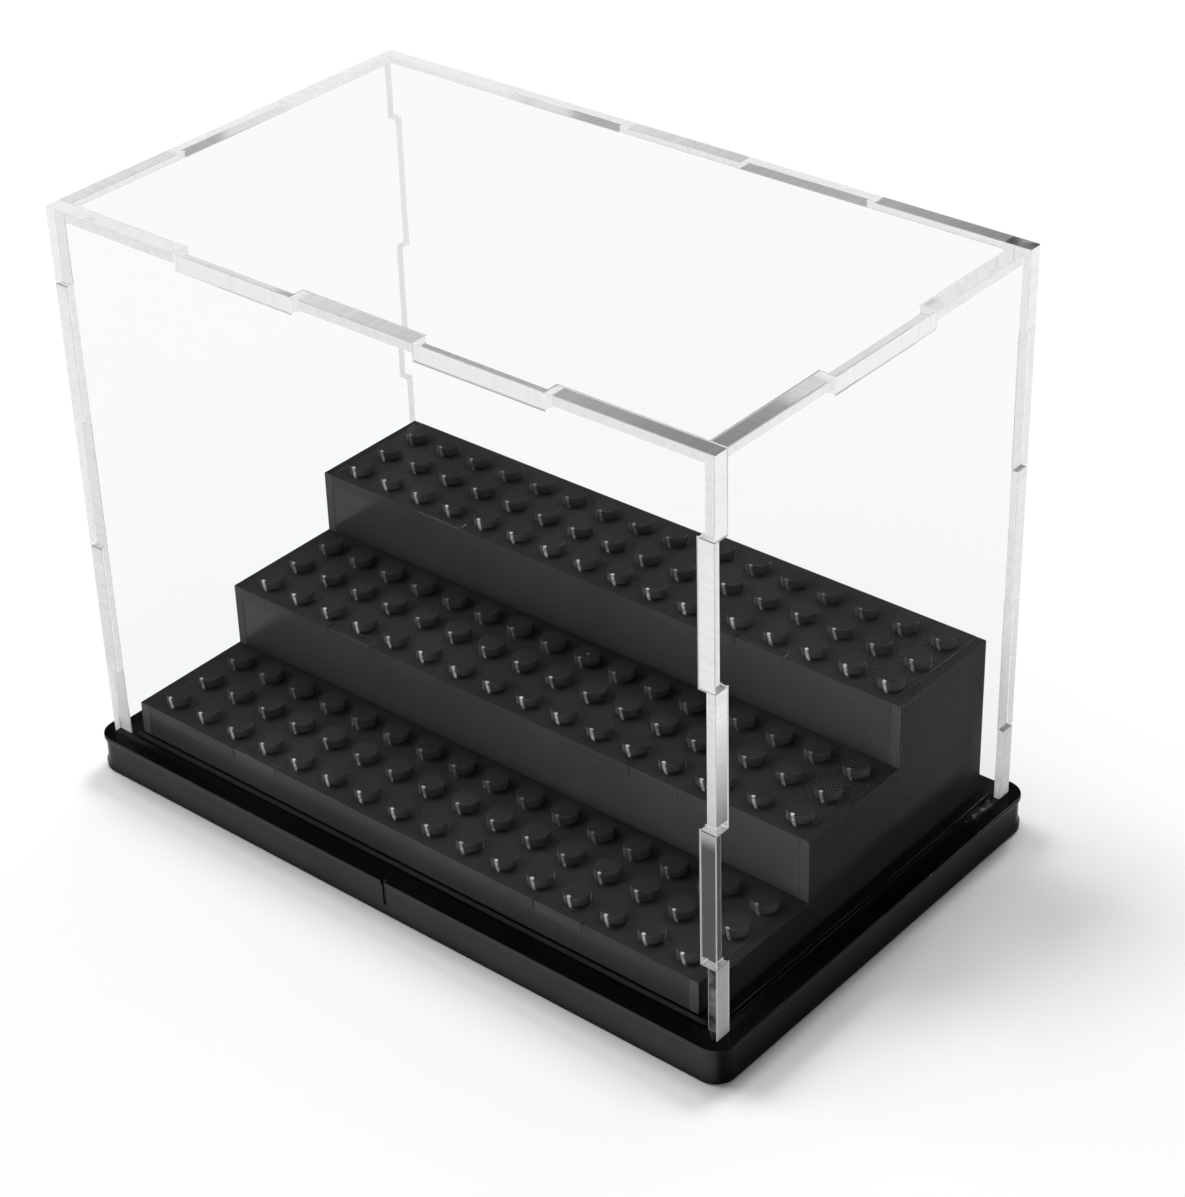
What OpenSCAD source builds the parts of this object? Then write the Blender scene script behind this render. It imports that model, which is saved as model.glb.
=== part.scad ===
// Dust-proof display case for small toy figures.
// A clear finger-jointed cover stands on a black base, round a black three-tier stair with studs.
// Origin: middle of the base's underside. X runs along the long side, Y to the back, Z up.

/* [Cover] */
// Outer length of the clear cover
cover_w = 142; // [112:1:200]
// Outer depth of the clear cover
cover_d = 85.5; // [80:0.5:140]
// Height of the clear cover above the ledge it stands on
cover_h = 108; // [86:1:180]
// Thickness of the clear sheet
sheet = 3; // [2:0.5:4]
// Length of each finger along a joint
finger = 26.3; // [16:0.1:28]
// Gap between two panels in a finger joint
joint_gap = 0.1; // [0.05:0.05:0.3]

/* [Base] */
// Width of the ledge that shows outside the cover
ledge = 2.7; // [2:0.1:10]
// Height from the underside to the ledge
base_h = 7.2; // [6:0.1:20]
// Radius of the base's upright corners
base_corner_r = 4; // [2:0.5:6]
// Height of the rim round the top of the side
rim_h = 0.8; // [0.5:0.1:1.6]
// Height of the lip round the foot of the side
lip_h = 1.4; // [0.5:0.1:2.2]
// Depth of the side behind the rim and the lip
waist = 0.35; // [0.1:0.05:1]
// Height of each slope between the waist and the rim or the lip
slope_h = 0.6; // [0.2:0.1:0.7]
// Width of the upright groove in the middle of the front
groove_w = 0.7; // [0.4:0.1:2]
// Depth of the upright groove in the middle of the front
groove_depth = 0.4; // [0.2:0.1:1]
// Height of the platform that the cover fits round
platform_h = 1; // [0.5:0.1:3]
// Gap between the platform and the inside of the cover
platform_gap = 0.5; // [0.2:0.1:0.9]
// Radius of the platform's upright corners
platform_corner_r = 1; // [0.5:0.1:3]

/* [Stair] */
// Gap between each end of the stair and the cover
stair_end_gap = 2.6; // [1:0.1:5]
// Gap between the stair and the cover at the front and at the back
stair_front_gap = 1.05; // [1:0.05:3]
// Thickness of the black sheet
stair_sheet = 2; // [1.5:0.1:3]
// Height of the lowest tread above the platform
first_rise = 6.6; // [5:0.1:20]
// Height from each tread to the next
rise = 12.65; // [8:0.05:20]
// Length of each tab that locks a riser into its tread
tab_w = 10.4; // [6:0.1:14]
// Distance from the end of a riser to its nearer tab
tab_end = 22.5; // [8:0.5:26]

/* [Studs] */
// Diameter of a stud
stud_d = 4.8; // [4.6:0.05:5]
// Height of a stud
stud_h = 1.7; // [1.2:0.1:2]
// Distance from each stud to the next
stud_pitch = 8; // [7.5:0.1:10]
// Least distance from a stud to the edge of its tread
stud_edge = 0.5; // [0.2:0.1:2]

/* [Hidden] */

$fn = 64;
tier_count = 3;
// Length by which a cutting block passes the face it cuts
cut_past = 1;

clear_colour = [0.93, 0.96, 0.96, 0.3];
base_colour = [0.03, 0.03, 0.03];
stair_colour = [0.1, 0.1, 0.1];

base_w = cover_w + 2 * ledge;
base_d = cover_d + 2 * ledge;
inner_w = cover_w - 2 * sheet;
inner_d = cover_d - 2 * sheet;
platform_z = base_h + platform_h;

stair_w = inner_w - 2 * stair_end_gap;
stair_d = inner_d - 2 * stair_front_gap;
tread_w = stair_w - 2 * stair_sheet;
tread_step = stair_d / tier_count;

// Centres of the upper and lower fingers on an upright joint, above the ledge
upright_fingers = [cover_h / 2 - finger, cover_h / 2 + finger];
// Centres of the two fingers of the top panel along each long joint
long_fingers = [-finger, finger];
// Centres of the two tabs along a riser
tab_middle = tread_w / 2 - tab_end - tab_w / 2;
tab_centres = [-tab_middle, tab_middle];

// Front face of a tier, counted from 0 at the front
function tier_front(i) = -stair_d / 2 + i * tread_step;
// Top face of a tier's tread
function tier_top(i) = platform_z + first_rise + i * rise;
// Number of studs that fit in a length of tread
function stud_count(len) = floor((len - stud_d - 2 * stud_edge) / stud_pitch) + 1;

// A flat slab with round upright corners, standing on z = 0
module rounded_slab(w, d, h, r) {
    linear_extrude(h)
        union() {
            square([w - 2 * r, d], center = true);
            square([w, d - 2 * r], center = true);
            for (sx = [-1, 1], sy = [-1, 1])
                translate([sx * (w / 2 - r), sy * (d / 2 - r)])
                    circle(r);
        }
}

// A block between two opposite corners
module block(low, high) {
    translate(low)
        cube(high - low);
}

// Half of the side's outline: distance from the middle and height, for a half width at the rim
function side_points(half) = [
    [half, 0],
    [half, lip_h],
    [half - waist, lip_h + slope_h],
    [half - waist, base_h - rim_h - slope_h],
    [half, base_h - rim_h],
    [half, base_h]
];

// A bar with the side's outline on both flanks, running along X
module waisted_bar(length, width) {
    right = side_points(width / 2);
    left = [for (i = [len(right) - 1 : -1 : 0]) [-right[i].x, right[i].y]];
    rotate([90, 0, 90])
        linear_extrude(length, center = true)
            polygon(concat(right, left));
}

// A corner of the base: the side's outline, turned a quarter of the way round an upright axis
module waisted_corner() {
    rotate_extrude(angle = 90)
        polygon(concat(side_points(base_corner_r), [[0, base_h], [0, 0]]));
}

module base() {
    corner_x = base_w / 2 - base_corner_r;
    corner_y = base_d / 2 - base_corner_r;
    // Axes of the corners, each a quarter turn on from the last
    corners = [
        [corner_x, corner_y],
        [-corner_x, corner_y],
        [-corner_x, -corner_y],
        [corner_x, -corner_y]
    ];
    waist_face = -base_d / 2 + waist;
    color(base_colour)
        difference() {
            union() {
                waisted_bar(2 * corner_x, base_d);
                rotate([0, 0, 90])
                    waisted_bar(2 * corner_y, base_w);
                for (turn = [0 : len(corners) - 1])
                    translate(corners[turn])
                        rotate(90 * turn)
                            waisted_corner();
                rounded_slab(
                    inner_w - 2 * platform_gap,
                    inner_d - 2 * platform_gap,
                    platform_z,
                    platform_corner_r
                );
            }
            block(
                [-groove_w / 2, -base_d / 2 - cut_past, lip_h + slope_h],
                [groove_w / 2, waist_face + groove_depth, base_h + cut_past]
            );
        }
}

// The front panel: it owns the corners, and is notched for the fingers of its neighbours
module long_panel() {
    notch = finger / 2 + joint_gap;
    depth = sheet + joint_gap;
    difference() {
        block([-cover_w / 2, -cover_d / 2, 0], [cover_w / 2, sheet - cover_d / 2, cover_h]);
        for (x = long_fingers)
            block(
                [x - notch, -cover_d / 2 - cut_past, cover_h - depth],
                [x + notch, sheet - cover_d / 2 + cut_past, cover_h + cut_past]
            );
        for (side = [-1, 1], z = upright_fingers)
            translate([side * cover_w / 2, sheet / 2 - cover_d / 2, z])
                cube([2 * depth, sheet + 2 * cut_past, 2 * notch], center = true);
    }
}

// The right panel: it stands between the long panels, and its fingers reach through them
module short_panel() {
    notch = finger / 2 + joint_gap;
    half_d = inner_d / 2 - joint_gap;
    difference() {
        union() {
            block([inner_w / 2, -half_d, 0], [cover_w / 2, half_d, cover_h]);
            for (z = upright_fingers)
                block(
                    [inner_w / 2, -cover_d / 2, z - finger / 2],
                    [cover_w / 2, cover_d / 2, z + finger / 2]
                );
        }
        block(
            [inner_w / 2 - cut_past, -notch, cover_h - sheet - joint_gap],
            [cover_w / 2 + cut_past, notch, cover_h + cut_past]
        );
    }
}

// The top panel: it lies between the four others, and its fingers reach through them
module lid_panel() {
    half_w = inner_w / 2 - joint_gap;
    half_d = inner_d / 2 - joint_gap;
    low = cover_h - sheet;
    union() {
        block([-half_w, -half_d, low], [half_w, half_d, cover_h]);
        block([-cover_w / 2, -finger / 2, low], [cover_w / 2, finger / 2, cover_h]);
        for (x = long_fingers)
            block([x - finger / 2, -cover_d / 2, low], [x + finger / 2, cover_d / 2, cover_h]);
    }
}

// Places a piece of the cover on the ledge
module on_ledge() {
    color(clear_colour)
        translate([0, 0, base_h])
            children();
}

module cover_front() {
    on_ledge()
        long_panel();
}

module cover_back() {
    on_ledge()
        mirror([0, 1, 0])
            long_panel();
}

module cover_left() {
    on_ledge()
        mirror([1, 0, 0])
            short_panel();
}

module cover_right() {
    on_ledge()
        short_panel();
}

module cover_top() {
    on_ledge()
        lid_panel();
}

// The right cheek: a plate with the stair's outline, flush with the treads and the risers
module cheek() {
    color(stair_colour)
        union() {
            for (i = [0 : tier_count - 1])
                block(
                    [tread_w / 2, tier_front(i), platform_z],
                    [stair_w / 2, stair_d / 2, tier_top(i)]
                );
        }
}

module stair_left_cheek() {
    mirror([1, 0, 0])
        cheek();
}

module stair_right_cheek() {
    cheek();
}

// A riser under the front of a tread, with two tabs that come up through the tread
module riser(i) {
    front = tier_front(i);
    foot = i == 0 ? platform_z : tier_top(i - 1);
    shoulder = tier_top(i) - stair_sheet;
    color(stair_colour)
        union() {
            block([-tread_w / 2, front, foot], [tread_w / 2, front + stair_sheet, shoulder]);
            for (x = tab_centres)
                block(
                    [x - tab_w / 2, front, foot],
                    [x + tab_w / 2, front + stair_sheet, tier_top(i)]
                );
        }
}

module lower_riser() {
    riser(0);
}

module middle_riser() {
    riser(1);
}

module upper_riser() {
    riser(2);
}

// The grid of studs on a tread, in the middle of the part that shows
module studs(i) {
    columns = stud_count(tread_w);
    rows = stud_count(tread_step);
    first_x = -(columns - 1) / 2 * stud_pitch;
    first_y = tier_front(i) + tread_step / 2 - (rows - 1) / 2 * stud_pitch;
    for (c = [0 : columns - 1], r = [0 : rows - 1])
        translate([first_x + c * stud_pitch, first_y + r * stud_pitch, tier_top(i) - stair_sheet])
            cylinder(h = stair_sheet + stud_h, d = stud_d);
}

// A tread with its studs: it carries the next riser, and is notched for its own riser's tabs
module tread(i) {
    front = tier_front(i);
    back = i == tier_count - 1 ? stair_d / 2 : tier_front(i + 1) + stair_sheet;
    low = tier_top(i) - stair_sheet;
    color(stair_colour)
        difference() {
            union() {
                block([-tread_w / 2, front, low], [tread_w / 2, back, tier_top(i)]);
                studs(i);
            }
            for (x = tab_centres)
                block(
                    [x - tab_w / 2 - joint_gap, front - cut_past, low - cut_past],
                    [x + tab_w / 2 + joint_gap, front + stair_sheet + joint_gap, tier_top(i) + cut_past]
                );
        }
}

module lower_tread() {
    tread(0);
}

module middle_tread() {
    tread(1);
}

module upper_tread() {
    tread(2);
}

base();
cover_front();
cover_back();
cover_left();
cover_right();
cover_top();
stair_left_cheek();
stair_right_cheek();
lower_riser();
middle_riser();
upper_riser();
lower_tread();
middle_tread();
upper_tread();
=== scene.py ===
"""Looks of the display case: clear finger-jointed cover, black stair with studs, black base."""
import math

import bpy
from mathutils import Matrix, Vector


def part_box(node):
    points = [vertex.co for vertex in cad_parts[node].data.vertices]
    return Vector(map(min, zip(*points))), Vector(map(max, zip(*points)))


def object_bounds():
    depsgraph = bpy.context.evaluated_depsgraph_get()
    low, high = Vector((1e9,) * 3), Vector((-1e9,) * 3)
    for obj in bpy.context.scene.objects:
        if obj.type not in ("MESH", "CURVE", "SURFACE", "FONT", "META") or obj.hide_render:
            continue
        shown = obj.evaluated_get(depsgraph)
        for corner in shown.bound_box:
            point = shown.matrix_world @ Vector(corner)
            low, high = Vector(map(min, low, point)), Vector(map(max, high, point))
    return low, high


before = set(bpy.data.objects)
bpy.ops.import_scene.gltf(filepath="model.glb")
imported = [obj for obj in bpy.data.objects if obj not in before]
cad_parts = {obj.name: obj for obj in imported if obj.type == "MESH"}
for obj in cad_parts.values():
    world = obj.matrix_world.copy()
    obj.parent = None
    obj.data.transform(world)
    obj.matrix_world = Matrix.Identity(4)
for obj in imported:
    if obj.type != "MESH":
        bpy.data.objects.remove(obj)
cad_low, cad_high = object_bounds()

MM = 0.001

# Camera, from the vanishing lines and the stud grid of the photograph
IMAGE_W = 1185
CAMERA_AT = Vector((291.73, -328.64, 321.57)) * MM
CAMERA_AZIMUTH = math.radians(41.796)
CAMERA_ELEVATION = math.radians(31.273)
CAMERA_ROLL = math.radians(-2.445)
FOCAL_PIXELS = 2941.0
SENSOR_MM = 36.0
CAMERA_SHIFT = (0.05, -0.05)
CAMERA_CLIP = (0.01, 100.0)

# The ceiling, and the heights between which the white backdrop passes into it
CEILING_LEVEL = 0.10
BACKDROP_EDGE = (0.20, 0.36)
# A grey card over the far left, which the black treads mirror, and its soft edge
CARD_TOWARDS = (-0.54, 0.60, 0.59)
CARD_LEVEL = 0.15
CARD_EDGE = (0.80, 0.90)
# Lamps: azimuth, elevation, share of the light on the floor and width, angles in degrees
LAMPS = {
    "left_lamp": (280.0, 38.0, 0.30, 30.0),
    "side_lamp": (254.0, 44.0, 0.14, 20.0),
    "back_lamp": (190.0, 44.0, 0.34, 22.0),
    "high_lamp": (225.0, 63.0, 0.10, 18.0),
    "front_lamp": (-40.0, 30.0, 0.03, 30.0),
}
# Reflections and passes through sheet that light may take
GLASS_BOUNCES = 32
GLOSS_BOUNCES = 16

# The floor, just under the base
FLOOR_HALF = 10.0
FLOOR_Z = -0.05 * MM
FLOOR_LEVELS = (0.96, 0.98)
FLOOR_ROUGHNESS = 0.9
FLOOR_SHADE_SCALE = 3.0

# Nodes by finish, with the axis that each clear sheet lies across
CLEAR_NODES = {
    "cover_front": "Y", "cover_back": "Y",
    "cover_left": "X", "cover_right": "X",
    "cover_top": "Z",
}
CHEEK_NODES = ("stair_left_cheek", "stair_right_cheek")
RISERS_BY_TREAD = {
    "lower_tread": "lower_riser",
    "middle_tread": "middle_riser",
    "upper_tread": "upper_riser",
}

# Bevels on the edges of each finish
CLEAR_BEVEL = 0.15 * MM
STAIR_BEVEL = 0.12 * MM
TREAD_BEVEL = 0.05 * MM
BASE_BEVEL = 0.18 * MM
BEVEL_SEGMENTS = 2
# Edges sharper than the first angle are bevelled, and those under the second are shaded smooth
SOFT_ANGLE = math.radians(40.0)
SMOOTH_ANGLE = math.radians(35.0)
# Points and faces this close are one
WELD_WITHIN = 0.001 * MM
FLAT_WITHIN = math.radians(1.0)

# A face points along an axis where that part of its normal is above this
POINTS_ALONG = 0.5

# Values of the noise between which patterns rise: soft, for fine marks, in patches and in spots
SOFT_NOISE = (0.3, 0.7)
MARK_NOISE = (0.35, 0.65)
PATCH_NOISE = (0.40, 0.60)
SPOT_NOISE = (0.42, 0.58)
BREAK_NOISE = (0.40, 0.58)
SMEAR_NOISE = (0.5, 0.8)

# Clear acrylic
ACRYLIC_IOR = 1.49
ACRYLIC_TINT = (0.975, 0.980, 0.979, 1.0)
CUT_ROUGHNESS = 0.16
SMEAR_ROUGHNESS = 0.03
SMEAR_SCALE = 60.0
# The haze's white is partly a finish and partly painted light, standing in for the white surroundings
# seen through the cut edges
# Light that haze gives back, and light from the lamps that a face lets through
FROST_LEVEL = 0.92
PASSING_LEVEL = 0.96
# Share of the haze's light that comes through it
FROST_THROUGH = 0.5
# The normal's part across a sheet: the most on its cut faces, and where its polished faces start
CUT_FACE = 0.05
POLISHED_FACE = (0.96, 0.98)
# Share of light that a panel's faces mirror, as a power of a bare sheet's share
MIRROR_POWER = 2.6
# Least and most haze on the upright cut edges, by distance from the front right foot; the haze is
# partly painted light
SIDE_HAZE = (0.10, 0.97)
SIDE_REACH = (38.0 * MM, 62.0 * MM)
# Haze on the short fingers at the foot and at the top, and on the level ends of all fingers
END_FINGER = 14.5 * MM
FOOT_HAZE = 0.42
HEAD_HAZE = 1.0
LEVEL_HAZE = 0.55
# Haze on the back left upright, partly painted light, and on the broken edges of all sheets, where it
# is a painted highlight
BACK_LEFT_HAZE = 1.0
RIM_HAZE = 0.6
# Fine marks of the cut
CUT_MARKS = (0.93, 1.05)
CUT_MARKS_SCALE = 900.0
# Clear share of the fingers' ends and of the patches in one joint, and the depth of the joints
# round the top panel, which stay hazy
FINGER_END = 0.7
JOINT_PATCHES = (0.4, 0.9)
JOINT_PATCHES_SCALE = 350.0
TOP_JOINT = 5.0 * MM
# Least and most haze, partly painted light, on the cut edges on top, by distance from the nearer right
# upright, and its patches behind the middle of the right side
TOP_HAZE = (0.30, 0.85)
TOP_REACH = (5.0 * MM, 80.0 * MM)
TOP_PATCHES = (0.1, 1.2)
TOP_PATCHES_SCALE = 220.0

# Black plastics: share of light that each surface gives back
CHEEK_LEVEL = 0.013
# Its top edges and front edges, painted lighter than its sides as light falls on them, the fronts as
# if lit from the front
CHEEK_TOP_LEVEL = 0.020
CHEEK_FRONT_LEVEL = 0.095
# Risers at their left and right ends, painted paler than the treads as if lit from the front, the
# upper two painted paler towards their right ends
RISER_LEVELS = {
    "lower_riser": (0.058, 0.054),
    "middle_riser": (0.058, 0.098),
    "upper_riser": (0.060, 0.088),
}
TREAD_LEVEL = 0.021
# Tops of the risers' tabs, at the tread's tone rather than the riser fronts' painted light
TAB_LEVEL = 0.018
# Stud sides, painted paler than the tread as light that offsets the shade on them
STUD_SIDE_LEVEL = 0.080
BASE_LEVEL = 0.002
# Base front, painted paler than the rest of the base as if lit from the front
BASE_FRONT_LEVEL = 0.043
# Gloss of each
CHEEK_SPECULAR = 0.04
RISER_SPECULAR = 0.2
TREAD_SPECULAR = 0.12
BASE_SPECULAR = 0.05

# Black sheet: a faint haze in its level and roughness, fine waves, and dust
SHEET_HAZE = (0.7, 1.3)
SHEET_HAZE_SCALE = 45.0
SHEET_ROUGHNESS = (0.14, 0.22)
WAVE_SCALE = 900.0
WAVE_HEIGHT = 0.02 * MM
WAVE_STRENGTH = 0.01
DUST_SCALE = 220.0
DUST_SHARE = 0.02
DUST_EDGE = (0.05, 0.09)
DUST_LEVEL = 0.12

# Moulded base: roughness, grain, how far the painted light on its front reaches as the face turns
# away, and the painted shade on the lip under the front
BASE_ROUGHNESS = (0.12, 0.20)
BASE_HAZE_SCALE = 70.0
GRAIN_SCALE = 2500.0
GRAIN_HEIGHT = 0.1 * MM
GRAIN_STRENGTH = 0.03
BASE_FRONT_TURN = (-0.95, -0.60)
LIP_HEIGHT = 2.4 * MM
LIP_SHARE = 0.3

# Studs: their grid, and the painted highlights down their fronts with their painted reflections in the
# tread
STUD_PITCH = 8.0 * MM
STUD_RADIUS = 2.4 * MM
STREAK_HALF_WIDTH = 0.40 * MM
STREAK_REACH = 0.5 * MM
# Sideways lean of a painted highlight, down the stud and out over the tread, where it stands for its
# reflection
STREAK_LEAN_DOWN = 0.24
STREAK_LEAN_OUT = 1.34
# Brightness of the painted highlights on the studs
PAINTED_HIGHLIGHT_LEVEL = 0.75
# A painted highlight's full share of its width, where it starts on the stud, its breaks, and its first
# and last row
STREAK_CORE = 0.6
STREAK_START = 0.8 * STUD_RADIUS
STREAK_BREAKS = (0.40, 1.0)
STREAK_BREAKS_SCALE = 1800.0
STREAK_ROWS = (1.0, 0.3)
LAST_ROW = 2.0
# Height over a tread from which its surface is a stud's
STUD_FOOT = 0.05 * MM


def node(tree, kind, inputs=None, **settings):
    """A shader node with its settings, its values and its links."""
    made = tree.nodes.new(kind)
    for name, value in settings.items():
        setattr(made, name, value)
    for name, value in (inputs or {}).items():
        if isinstance(value, bpy.types.NodeSocket):
            tree.links.new(value, made.inputs[name])
        else:
            made.inputs[name].default_value = value
    return made


def math_node(tree, operation, first, second=0.0):
    return node(tree, "ShaderNodeMath", {0: first, 1: second}, operation=operation).outputs[0]


def product(tree, *factors):
    result = factors[0]
    for factor in factors[1:]:
        result = math_node(tree, "MULTIPLY", result, factor)
    return result


def map_range(tree, value, low, high, to_low=0.0, to_high=1.0, smooth=False):
    kind = "SMOOTHSTEP" if smooth else "LINEAR"
    inputs = {"Value": value, "From Min": low, "From Max": high, "To Min": to_low, "To Max": to_high}
    return node(tree, "ShaderNodeMapRange", inputs, interpolation_type=kind).outputs["Result"]


def mix_value(tree, factor, first, second):
    return node(tree, "ShaderNodeMix", {"Factor": factor, "A": first, "B": second}).outputs["Result"]


def mix_shader(tree, factor, first, second):
    return node(tree, "ShaderNodeMixShader", {0: factor, 1: first, 2: second}).outputs[0]


def grey(value):
    return (value, value, value, 1.0)


def mix_colour(tree, factor, first, second):
    mixed = node(tree, "ShaderNodeMix", {"Factor": factor}, data_type="RGBA")
    for index, value in ((6, first), (7, second)):
        if isinstance(value, bpy.types.NodeSocket):
            tree.links.new(value, mixed.inputs[index])
        else:
            mixed.inputs[index].default_value = value
    return mixed.outputs[2]


def new_material(name):
    made = bpy.data.materials.new(name)
    made.use_nodes = True
    made.node_tree.nodes.clear()
    return made, made.node_tree


def output(tree, surface):
    node(tree, "ShaderNodeOutputMaterial", {"Surface": surface})


def object_coords(tree):
    return node(tree, "ShaderNodeTexCoord").outputs["Object"]


def split(tree, vector):
    return node(tree, "ShaderNodeSeparateXYZ", {0: vector}).outputs


def facing(tree):
    """The surface normal's three parts."""
    return split(tree, node(tree, "ShaderNodeNewGeometry").outputs["Normal"])


def points_along(tree, part):
    """Whether a face points along an axis, either way, by that part of its normal."""
    return math_node(tree, "GREATER_THAN", math_node(tree, "ABSOLUTE", part), POINTS_ALONG)


def noise(tree, coords, scale, detail=3.0, roughness=0.5):
    inputs = {"Vector": coords, "Scale": scale, "Detail": detail, "Roughness": roughness}
    return node(tree, "ShaderNodeTexNoise", inputs).outputs["Fac"]


def distance(tree, coords, point):
    inputs = {0: coords, 1: point}
    return node(tree, "ShaderNodeVectorMath", inputs, operation="DISTANCE").outputs["Value"]


def top_haze_and_painted_light(tree, coords):
    """Share of haze on the cut edges on top, partly painted light, least at the right corners."""
    low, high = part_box("cover_front")
    place = split(tree, coords)
    depth = math_node(tree, "ABSOLUTE", place["Y"])
    plan = node(tree, "ShaderNodeCombineXYZ", {"X": place["X"], "Y": depth}).outputs[0]
    share = map_range(tree, distance(tree, plan, (high.x, -low.y, 0.0)), *TOP_REACH, *TOP_HAZE)
    right_back = product(
        tree,
        math_node(tree, "GREATER_THAN", place["X"], high.x - TOP_JOINT),
        math_node(tree, "GREATER_THAN", place["Y"], END_FINGER),
    )
    spots = noise(tree, coords, TOP_PATCHES_SCALE, detail=1.0)
    patches = map_range(tree, spots, *SPOT_NOISE, *TOP_PATCHES)
    return product(tree, share, mix_value(tree, right_back, 1.0, patches))


def edge_haze_and_painted_light(tree, coords, normal, axis, across):
    """Share of haze on cut edges, partly a finish and partly painted light, least near the front right
    corner, with fine marks of the cut.
    """
    low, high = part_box("cover_front")
    place = split(tree, coords)
    height = place["Z"]
    from_foot = distance(tree, coords, (high.x, low.y, low.z))
    side_share = map_range(tree, from_foot, *SIDE_REACH, *SIDE_HAZE)
    at_foot = math_node(tree, "LESS_THAN", height, low.z + END_FINGER)
    at_head = math_node(tree, "GREATER_THAN", height, cad_high.z - END_FINGER)
    ends = product(tree, at_foot, FOOT_HAZE), product(tree, at_head, HEAD_HAZE)
    side_share = math_node(tree, "MAXIMUM", side_share, math_node(tree, "MAXIMUM", *ends))
    side_share = mix_value(tree, points_along(tree, normal["Z"]), side_share, LEVEL_HAZE)
    on_top = math_node(tree, "GREATER_THAN", height, cad_high.z - CLEAR_BEVEL)
    share = mix_value(tree, on_top, side_share, top_haze_and_painted_light(tree, coords))
    on_rim = math_node(tree, "GREATER_THAN", across, CUT_FACE)
    share = mix_value(tree, on_rim, share, RIM_HAZE)
    to_back_left = math_node(tree, "SUBTRACT", place["Y"], place["X"])
    back_left = math_node(tree, "GREATER_THAN", to_back_left, -low.x - low.y - END_FINGER)
    share = math_node(tree, "MAXIMUM", share, product(tree, back_left, BACK_LEFT_HAZE))
    through = tuple(0.0 if part == axis else 1.0 for part in "XYZ")
    along = node(tree, "ShaderNodeVectorMath", {0: coords, 1: through}, operation="MULTIPLY")
    marks = noise(tree, along.outputs[0], CUT_MARKS_SCALE, detail=5.0, roughness=0.6)
    return product(tree, share, map_range(tree, marks, *MARK_NOISE, *CUT_MARKS))


def joint_faces(tree, coords, normal):
    """Cut faces that show what they rest on: the feet, the fingers' ends and one joint.

    That joint is the lowest of the front right upright.
    """
    place = split(tree, coords)
    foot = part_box("cover_front")[0].z
    under_top = math_node(tree, "LESS_THAN", place["Z"], cad_high.z - TOP_JOINT)
    lowest = math_node(tree, "LESS_THAN", place["Z"], foot + END_FINGER)
    at_right = math_node(tree, "GREATER_THAN", place["X"], 0.0)
    before_joint = math_node(tree, "LESS_THAN", place["Y"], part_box("cover_right")[0].y + CLEAR_BEVEL)
    in_front = math_node(tree, "LESS_THAN", place["Y"], 0.0)
    behind = math_node(tree, "SUBTRACT", in_front, before_joint)
    spots = noise(tree, coords, JOINT_PATCHES_SCALE)
    patches = map_range(tree, spots, *PATCH_NOISE, *JOINT_PATCHES)
    joint = product(tree, lowest, at_right, behind, points_along(tree, normal["Y"]), patches)
    at_foot = math_node(tree, "LESS_THAN", place["Z"], foot + CLEAR_BEVEL)
    clear_share = mix_value(tree, at_foot, FINGER_END, 1.0)
    ends = product(tree, under_top, points_along(tree, normal["Z"]), clear_share)
    return math_node(tree, "MAXIMUM", joint, ends)


def clear_acrylic(name, axis):
    """Polished clear sheet across an axis, with hazy cut edges whose white is partly painted light,
    and clear joints.

    It lets the lamps through.
    """
    made, tree = new_material(name)
    coords = object_coords(tree)
    normal = facing(tree)
    across = math_node(tree, "ABSOLUTE", normal[axis])
    cut = map_range(tree, across, *POLISHED_FACE, 1.0, 0.0)
    cut_face = math_node(tree, "LESS_THAN", across, CUT_FACE)
    joint = product(tree, cut_face, joint_faces(tree, coords, normal))
    wiped = noise(tree, coords, SMEAR_SCALE, detail=5.0)
    smears = map_range(tree, wiped, *SMEAR_NOISE, 0.0, SMEAR_ROUGHNESS)
    roughness = math_node(tree, "ADD", smears, product(tree, cut, CUT_ROUGHNESS))
    fresnel = node(tree, "ShaderNodeFresnel", {"IOR": ACRYLIC_IOR}).outputs[0]
    mirror_share = math_node(tree, "POWER", fresnel, MIRROR_POWER)
    bend_inputs = {"Color": ACRYLIC_TINT, "IOR": ACRYLIC_IOR, "Roughness": roughness}
    bend = node(tree, "ShaderNodeBsdfRefraction", bend_inputs).outputs[0]
    mirror_inputs = {"Color": grey(1.0), "Roughness": roughness}
    mirror = node(tree, "ShaderNodeBsdfAnisotropic", mirror_inputs).outputs[0]
    glass = mix_shader(tree, mirror_share, bend, mirror)
    scatter = node(tree, "ShaderNodeBsdfDiffuse", {"Color": grey(FROST_LEVEL)}).outputs[0]
    through = node(tree, "ShaderNodeBsdfTranslucent", {"Color": grey(FROST_LEVEL)}).outputs[0]
    frost = mix_shader(tree, FROST_THROUGH, scatter, through)
    haze = product(tree, cut, edge_haze_and_painted_light(tree, coords, normal, axis, across))
    # Haze on the cut edges, its white partly painted light
    solid = mix_shader(tree, haze, glass, frost)
    passing = node(tree, "ShaderNodeBsdfTransparent", {"Color": grey(PASSING_LEVEL)}).outputs[0]
    path = node(tree, "ShaderNodeLightPath").outputs
    lamp_ray = math_node(tree, "MAXIMUM", path["Is Shadow Ray"], path["Is Diffuse Ray"])
    output(tree, mix_shader(tree, math_node(tree, "MAXIMUM", lamp_ray, joint), solid, passing))
    return made


def bumps(tree, pattern, strength, height):
    inputs = {"Height": pattern, "Strength": strength, "Distance": height}
    return node(tree, "ShaderNodeBump", inputs).outputs[0]


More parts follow.
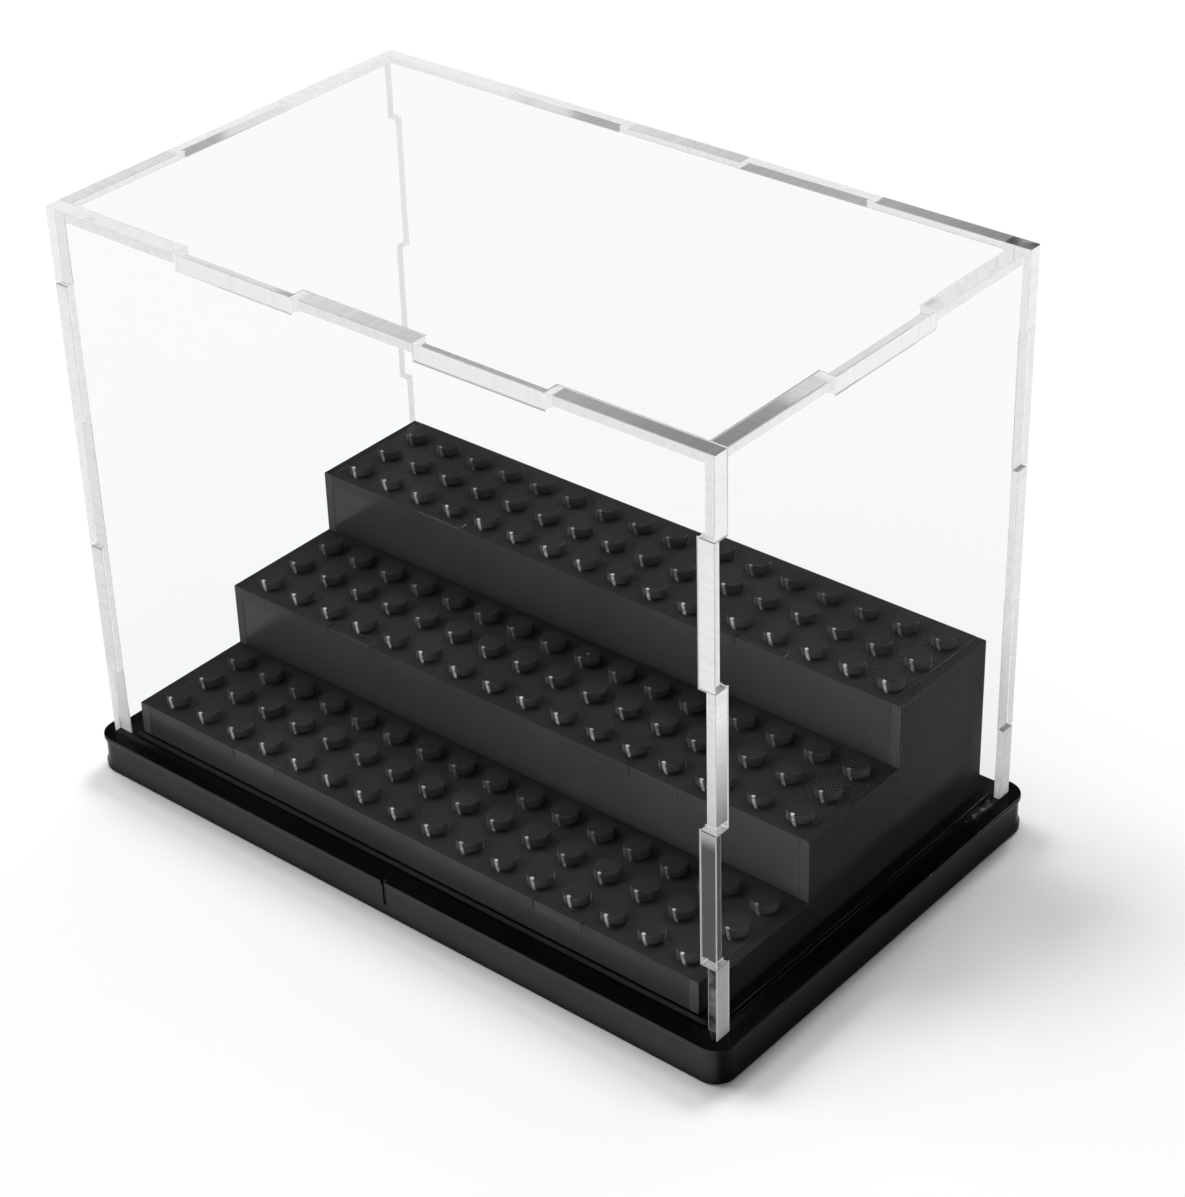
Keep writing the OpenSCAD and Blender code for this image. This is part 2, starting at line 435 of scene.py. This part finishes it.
def dust_specks(tree, coords):
    """A few pale specks: the middles of random cells."""
    cells = node(tree, "ShaderNodeTexVoronoi", {"Vector": coords, "Scale": DUST_SCALE}).outputs
    near = map_range(tree, cells["Distance"], *DUST_EDGE, 1.0, 0.0)
    chosen = node(tree, "ShaderNodeSeparateColor", {0: cells["Color"]}).outputs[0]
    return product(tree, near, math_node(tree, "GREATER_THAN", chosen, 1.0 - DUST_SHARE))


def sheet_colour(tree, coords, level):
    """Black sheet with a faint haze."""
    haze = noise(tree, coords, SHEET_HAZE_SCALE, detail=6.0)
    return mix_colour(tree, haze, *(grey(share * level) for share in SHEET_HAZE))


def glossy_sheet(tree, coords, colour, specular):
    """Gloss, fine waves and dust on a colour of black sheet."""
    haze = noise(tree, coords, SHEET_HAZE_SCALE, detail=6.0)
    fine = noise(tree, coords, WAVE_SCALE, detail=2.0)
    inputs = {
        "Base Color": mix_colour(tree, dust_specks(tree, coords), colour, grey(DUST_LEVEL)),
        "Roughness": map_range(tree, haze, *SOFT_NOISE, *SHEET_ROUGHNESS),
        "IOR": ACRYLIC_IOR,
        "Specular IOR Level": specular,
        "Normal": bumps(tree, fine, WAVE_STRENGTH, WAVE_HEIGHT),
    }
    output(tree, node(tree, "ShaderNodeBsdfPrincipled", inputs).outputs[0])


def cheek_black():
    """Side plate with its sides left darkest; its cut edges take the treads' tone on top and are
    painted paler than the risers in front, as painted light from the front.
    """
    made, tree = new_material("stair_cheek")
    coords = object_coords(tree)
    normal = facing(tree)
    front = math_node(tree, "LESS_THAN", normal["Y"], -POINTS_ALONG)
    top = math_node(tree, "GREATER_THAN", normal["Z"], POINTS_ALONG)
    colour = mix_colour(tree, top, sheet_colour(tree, coords, CHEEK_LEVEL), grey(CHEEK_TOP_LEVEL))
    colour = mix_colour(tree, front, colour, grey(CHEEK_FRONT_LEVEL))
    glossy_sheet(tree, coords, colour, CHEEK_SPECULAR)
    return made


def riser_colour(tree, coords, riser_name):
    """Black sheet with its haze, at the levels of painted light set at both ends of a riser."""
    low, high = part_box(riser_name)
    along = map_range(tree, split(tree, coords)["X"], low.x, high.x)
    ends = (sheet_colour(tree, coords, level) for level in RISER_LEVELS[riser_name])
    return mix_colour(tree, along, *ends)


def riser_black(riser_name):
    """Riser, painted paler on its front as if lit from the front, whose tabs end flush in the tread
    and look like it.
    """
    made, tree = new_material(riser_name)
    coords = object_coords(tree)
    tab_top = math_node(tree, "GREATER_THAN", facing(tree)["Z"], POINTS_ALONG)
    colour = mix_colour(tree, tab_top, riser_colour(tree, coords, riser_name), grey(TAB_LEVEL))
    glossy_sheet(tree, coords, colour, RISER_SPECULAR)
    return made


def painted_stud_highlights(tree, coords, first_row, stud_top):
    """Painted highlights down the front of each stud, and their painted reflections in the tread just
    before it, fainter in the rows behind.
    """
    place = split(tree, coords)
    column = math_node(tree, "FRACT", math_node(tree, "DIVIDE", place["X"], STUD_PITCH))
    aside = product(tree, math_node(tree, "SUBTRACT", column, 0.5), STUD_PITCH)
    rows = math_node(tree, "DIVIDE", math_node(tree, "SUBTRACT", place["Y"], first_row), STUD_PITCH)
    row = math_node(tree, "ROUND", rows)
    ahead = product(tree, math_node(tree, "SUBTRACT", row, rows), STUD_PITCH)
    down = math_node(tree, "SUBTRACT", stud_top, place["Z"])
    out = math_node(tree, "MAXIMUM", math_node(tree, "SUBTRACT", ahead, STUD_RADIUS), 0.0)
    leans = product(tree, down, STREAK_LEAN_DOWN), product(tree, out, STREAK_LEAN_OUT)
    lean = math_node(tree, "ADD", *leans)
    off_mark = math_node(tree, "ABSOLUTE", math_node(tree, "SUBTRACT", aside, lean))
    core = STREAK_CORE * STREAK_HALF_WIDTH
    narrow = map_range(tree, off_mark, core, STREAK_HALF_WIDTH, 1.0, 0.0)
    start = math_node(tree, "GREATER_THAN", ahead, STREAK_START)
    fade = map_range(tree, ahead, STUD_RADIUS, STUD_RADIUS + STREAK_REACH, 1.0, 0.0)
    breaks = noise(tree, coords, STREAK_BREAKS_SCALE)
    broken = map_range(tree, breaks, *BREAK_NOISE, *STREAK_BREAKS)
    by_row = map_range(tree, row, 0.0, LAST_ROW, *STREAK_ROWS)
    return product(tree, narrow, start, fade, broken, by_row)


def tread_black(name, riser_name, first_row):
    """Tread with its studs; its front edge gets the painted light of the riser under it."""
    made, tree = new_material(name)
    coords = object_coords(tree)
    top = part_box(riser_name)[1].z
    stud_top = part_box(name)[1].z
    normal = facing(tree)
    height = split(tree, coords)["Z"]
    on_stud = math_node(tree, "GREATER_THAN", height, top + STUD_FOOT)
    upright = math_node(tree, "LESS_THAN", math_node(tree, "ABSOLUTE", normal["Z"]), POINTS_ALONG)
    front_edge = product(
        tree,
        math_node(tree, "LESS_THAN", normal["Y"], -POINTS_ALONG),
        math_node(tree, "LESS_THAN", height, top),
    )
    colour = sheet_colour(tree, coords, TREAD_LEVEL)
    # The studs' sides are painted paler, as light that offsets their shade
    colour = mix_colour(tree, product(tree, on_stud, upright), colour, grey(STUD_SIDE_LEVEL))
    # The tread's front edge takes the riser's painted light
    colour = mix_colour(tree, front_edge, colour, riser_colour(tree, coords, riser_name))
    # Painted highlights on the studs, with their painted reflections in the tread
    streaks = painted_stud_highlights(tree, coords, first_row, stud_top)
    colour = mix_colour(tree, streaks, colour, grey(PAINTED_HIGHLIGHT_LEVEL))
    glossy_sheet(tree, coords, colour, TREAD_SPECULAR)
    return made


def base_black():
    """Black moulded plastic with a fine grain, its front painted paler as if lit from the front, with
    painted shade darkening it down to the lip.
    """
    made, tree = new_material("base_black")
    coords = object_coords(tree)
    height = split(tree, coords)["Z"]
    # Painted light on the front faces, and painted shade on the lip at their foot
    front = map_range(tree, facing(tree)["Y"], *BASE_FRONT_TURN, 1.0, 0.0, smooth=True)
    off_lip = map_range(tree, height, 0.0, LIP_HEIGHT, LIP_SHARE, 1.0, smooth=True)
    colour = mix_colour(
        tree,
        product(tree, front, off_lip),
        sheet_colour(tree, coords, BASE_LEVEL),
        sheet_colour(tree, coords, BASE_FRONT_LEVEL),
    )
    haze = noise(tree, coords, BASE_HAZE_SCALE, detail=6.0)
    grain = noise(tree, coords, GRAIN_SCALE, detail=2.0)
    inputs = {
        "Base Color": colour,
        "Roughness": map_range(tree, haze, *SOFT_NOISE, *BASE_ROUGHNESS),
        "IOR": ACRYLIC_IOR,
        "Specular IOR Level": BASE_SPECULAR,
        "Normal": bumps(tree, grain, GRAIN_STRENGTH, GRAIN_HEIGHT),
    }
    output(tree, node(tree, "ShaderNodeBsdfPrincipled", inputs).outputs[0])
    return made


def floor_white():
    made, tree = new_material("floor_white")
    shade = noise(tree, object_coords(tree), FLOOR_SHADE_SCALE)
    inputs = {
        "Base Color": mix_colour(tree, shade, *(grey(level) for level in FLOOR_LEVELS)),
        "Roughness": FLOOR_ROUGHNESS,
        "Specular IOR Level": 0.0,
    }
    output(tree, node(tree, "ShaderNodeBsdfPrincipled", inputs).outputs[0])
    return made


def geometry_group(name):
    """A node group from a mesh to a mesh, with its source and its result."""
    group = bpy.data.node_groups.new(name, "GeometryNodeTree")
    for way in ("INPUT", "OUTPUT"):
        group.interface.new_socket("Geometry", in_out=way, socket_type="NodeSocketGeometry")
    return group, group.nodes.new("NodeGroupInput"), group.nodes.new("NodeGroupOutput")


def sharp_edges(group, limit):
    angle = node(group, "GeometryNodeInputMeshEdgeAngle").outputs[0]
    return math_node(group, "GREATER_THAN", angle, limit)


def smooth_by_angle(limit):
    """A node group that shades a mesh smooth up to an angle between faces."""
    group, source, result = geometry_group("smooth_by_angle")
    inputs = {"Mesh": source.outputs[0], "Edge Sharpness": sharp_edges(group, limit)}
    normals = node(group, "GeometryNodeSetMeshNormal", mode="SHARPNESS")
    for name, value in inputs.items():
        group.links.new(value, normals.inputs[name])
    group.links.new(normals.outputs[0], result.inputs[0])
    return group


def soft_edges(limit, above):
    """A node group that marks the sharp edges above a height for the bevel."""
    group, source, result = geometry_group("soft_edges")
    height = split(group, node(group, "GeometryNodeInputPosition").outputs[0])["Z"]
    weight = product(group, sharp_edges(group, limit), math_node(group, "GREATER_THAN", height, above))
    inputs = {"Geometry": source.outputs[0], "Name": "bevel_weight_edge", "Value": weight}
    marked = node(group, "GeometryNodeStoreNamedAttribute", inputs, data_type="FLOAT", domain="EDGE")
    group.links.new(marked.outputs[0], result.inputs[0])
    return group


def finish_node(name, material, bevel, rounded=False):
    """A CAD node with its material and its edges softened.

    The clear sheets' edges that stand on the ledge stay sharp.
    """
    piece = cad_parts[name]
    piece.data.materials.clear()
    piece.data.materials.append(material)
    weld = piece.modifiers.new("weld", "WELD")
    weld.merge_threshold = WELD_WITHIN
    flat = piece.modifiers.new("flat", "DECIMATE")
    flat.decimate_type = "DISSOLVE"
    flat.angle_limit = FLAT_WITHIN
    soft = piece.modifiers.new("soft", "BEVEL")
    soft.width = bevel
    soft.segments = BEVEL_SEGMENTS
    soft.limit_method = "ANGLE"
    soft.angle_limit = SOFT_ANGLE
    if name in CLEAR_NODES:
        mark = piece.modifiers.new("mark", "NODES")
        mark.node_group = soft_group
        piece.modifiers.move(piece.modifiers.find("mark"), piece.modifiers.find("soft"))
        soft.limit_method = "WEIGHT"
    if rounded:
        shade = piece.modifiers.new("shade", "NODES")
        shade.node_group = smooth_group
        level = piece.modifiers.new("level", "WEIGHTED_NORMAL")
        level.keep_sharp = True
        level.weight = 100


def make_camera():
    sin_a, cos_a = math.sin(CAMERA_AZIMUTH), math.cos(CAMERA_AZIMUTH)
    sin_e, cos_e = math.sin(CAMERA_ELEVATION), math.cos(CAMERA_ELEVATION)
    back = Vector((sin_a * cos_e, -cos_a * cos_e, sin_e))
    right = Vector((cos_a, sin_a, 0.0))
    up = back.cross(right)
    cos_r, sin_r = math.cos(CAMERA_ROLL), math.sin(CAMERA_ROLL)
    right, up = cos_r * right + sin_r * up, cos_r * up - sin_r * right
    data = bpy.data.cameras.new("camera")
    data.sensor_fit = "HORIZONTAL"
    data.sensor_width = SENSOR_MM
    data.lens = FOCAL_PIXELS / IMAGE_W * SENSOR_MM
    data.shift_x, data.shift_y = CAMERA_SHIFT
    data.clip_start, data.clip_end = CAMERA_CLIP
    camera = bpy.data.objects.new("camera", data)
    turn = Matrix((right, up, back)).transposed().to_4x4()
    camera.matrix_world = Matrix.Translation(CAMERA_AT) @ turn
    bpy.context.scene.collection.objects.link(camera)
    bpy.context.scene.camera = camera


def make_floor():
    signs = ((-1, -1), (1, -1), (1, 1), (-1, 1))
    corners = [(x * FLOOR_HALF, y * FLOOR_HALF, FLOOR_Z) for x, y in signs]
    mesh = bpy.data.meshes.new("floor")
    mesh.from_pydata(corners, [], [(0, 1, 2, 3)])
    floor = bpy.data.objects.new("floor", mesh)
    floor.data.materials.append(floor_white())
    bpy.context.scene.collection.objects.link(floor)


def make_sun(name, azimuth, elevation, level, angle):
    """A lamp in a direction; level is its share of the light on the floor."""
    a, e = math.radians(azimuth), math.radians(elevation)
    data = bpy.data.lights.new(name, "SUN")
    data.energy = level * math.pi / math.sin(e)
    data.angle = math.radians(angle)
    lamp = bpy.data.objects.new(name, data)
    towards = Vector((math.sin(a) * math.cos(e), -math.cos(a) * math.cos(e), math.sin(e)))
    lamp.rotation_mode = "QUATERNION"
    lamp.rotation_quaternion = towards.to_track_quat("Z", "Y")
    bpy.context.scene.collection.objects.link(lamp)


def make_world():
    """A white backdrop round the horizon under a dim ceiling, with the grey card."""
    world = bpy.data.worlds.new("studio")
    world.use_nodes = True
    tree = world.node_tree
    tree.nodes.clear()
    direction = node(tree, "ShaderNodeTexCoord").outputs["Generated"]
    height = split(tree, direction)["Z"]
    level = map_range(tree, height, *BACKDROP_EDGE, 1.0, CEILING_LEVEL, smooth=True)
    card_inputs = {0: direction, 1: CARD_TOWARDS}
    towards = node(tree, "ShaderNodeVectorMath", card_inputs, operation="DOT_PRODUCT")
    card = map_range(tree, towards.outputs["Value"], *CARD_EDGE, smooth=True)
    level = mix_value(tree, card, level, CARD_LEVEL)
    background = node(tree, "ShaderNodeBackground", {"Color": grey(1.0), "Strength": level})
    node(tree, "ShaderNodeOutputWorld", {"Surface": background.outputs[0]})
    bpy.context.scene.world = world


smooth_group = smooth_by_angle(SMOOTH_ANGLE)
soft_group = soft_edges(SOFT_ANGLE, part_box("cover_front")[0].z + CLEAR_BEVEL)
sheets = {axis: clear_acrylic("clear_acrylic_" + axis.lower(), axis) for axis in "XYZ"}
for name, axis in CLEAR_NODES.items():
    finish_node(name, sheets[axis], CLEAR_BEVEL)
cheek = cheek_black()
for name in CHEEK_NODES:
    finish_node(name, cheek, STAIR_BEVEL)
tread_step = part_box("middle_riser")[0].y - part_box("lower_riser")[0].y
for tread_name, riser_name in RISERS_BY_TREAD.items():
    finish_node(riser_name, riser_black(riser_name), STAIR_BEVEL)
    first_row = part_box(riser_name)[0].y + tread_step / 2 - STUD_PITCH
    tread = tread_black(tread_name, riser_name, first_row)
    finish_node(tread_name, tread, TREAD_BEVEL, rounded=True)
finish_node("base", base_black(), BASE_BEVEL, rounded=True)

make_camera()
make_floor()
make_world()
for name, settings in LAMPS.items():
    make_sun(name, *settings)

scene = bpy.context.scene
scene.view_settings.view_transform = "Standard"
scene.cycles.max_bounces = GLASS_BOUNCES
scene.cycles.transmission_bounces = GLASS_BOUNCES
scene.cycles.glossy_bounces = GLOSS_BOUNCES
scene.cycles.transparent_max_bounces = GLASS_BOUNCES
